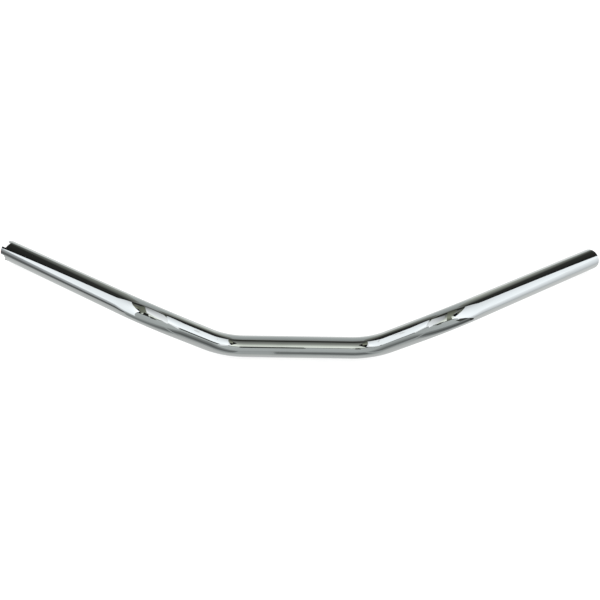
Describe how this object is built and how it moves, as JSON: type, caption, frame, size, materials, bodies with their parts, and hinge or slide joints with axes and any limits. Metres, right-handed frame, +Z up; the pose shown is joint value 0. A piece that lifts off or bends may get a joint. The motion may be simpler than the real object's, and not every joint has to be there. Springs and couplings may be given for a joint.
{
  "type": "handlebar",
  "caption": "Chromed round-tube motorcycle handlebar with a straight clamp section, low rising arms, grips swept back and down, and a notched throttle end.",
  "frame": {"origin": "middle of the clamp section, on the tube's centre line", "axes": "+X along the clamp section towards the rider's left, +Y back towards the rider, +Z up"},
  "size_m": [0.7504, 0.1527, 0.0846],
  "materials": {
    "chrome": "mirror-bright decorative chrome plating on steel tube, thin and dull inside the bore"
  },
  "bodies": {
    "root": {"handlebar_tube": "chrome"}
  },
  "joints": []
}
